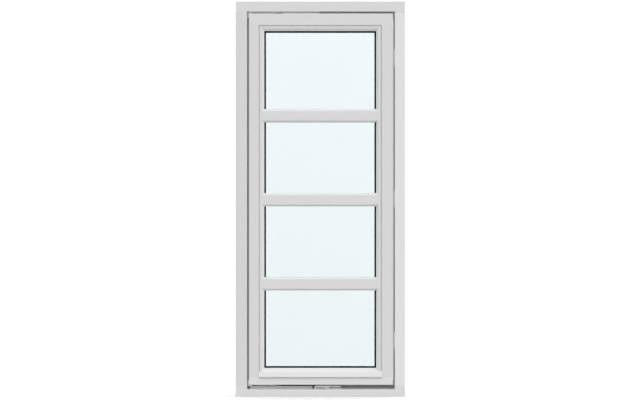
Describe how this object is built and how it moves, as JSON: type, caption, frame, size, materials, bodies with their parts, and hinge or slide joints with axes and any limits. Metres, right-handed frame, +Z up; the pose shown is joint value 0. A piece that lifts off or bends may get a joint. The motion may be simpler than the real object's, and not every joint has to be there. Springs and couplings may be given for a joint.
{
  "type": "timber pivot window",
  "caption": "Side-swing reversible timber pivot window, shut: white painted frame and sash, horizontal glazing bars, sealed glazing, pivot fittings over and under the sash, inside handle.",
  "frame": {"origin": "middle of the underside of the frame, half way through its depth", "axes": "+X to the lock side as seen from outside, +Y from outside into the room, +Z up"},
  "size_m": [0.6, 0.119, 1.4],
  "materials": {
    "painted_timber": "satin",
    "glass": "gloss",
    "rubber": "matte",
    "spacer": "matte",
    "block_plastic": "matte",
    "steel": "satin",
    "aluminium": "satin",
    "handle_paint": "satin"
  },
  "bodies": {
    "root": {"bar_spacers": "spacer", "bottom_glazing_profile": "painted_timber", "corner_shoe_bottom": "steel", "corner_shoe_top": "steel", "edge_spacer": "spacer", "frame_head": "painted_timber", "frame_jamb_hinge_side": "painted_timber", "frame_jamb_lock_side": "painted_timber", "frame_sill": "painted_timber", "glazing_bead_hinge_side": "painted_timber", "glazing_bead_lock_side": "painted_timber", "glazing_bead_top": "painted_timber", "guide_arm_bottom": "steel", "guide_arm_top": "steel", "guide_track_bottom": "aluminium", "guide_track_top": "aluminium", "handle_lever": "handle_paint", "handle_rosette": "handle_paint", "inner_glazing_bar_1": "painted_timber", "inner_glazing_bar_2": "painted_timber", "inner_glazing_bar_3": "painted_timber", "inner_glazing_gasket": "rubber", "inner_pane": "glass", "lock_faceplate": "steel", "lock_keep_1": "steel", "lock_keep_2": "steel", "lock_keep_3": "steel", "locking_cams": "steel", "outer_glazing_bar_1": "painted_timber", "outer_glazing_bar_2": "painted_timber", "outer_glazing_bar_3": "painted_timber", "outer_glazing_gasket": "rubber", "outer_pane": "glass", "pivot_bracket_bottom": "steel", "pivot_bracket_top": "steel", "sash_bottom_rail": "painted_timber", "sash_stile_hinge_side": "painted_timber", "sash_stile_lock_side": "painted_timber", "sash_top_rail": "painted_timber", "setting_blocks": "block_plastic", "weather_seal": "rubber"}
  },
  "joints": []
}
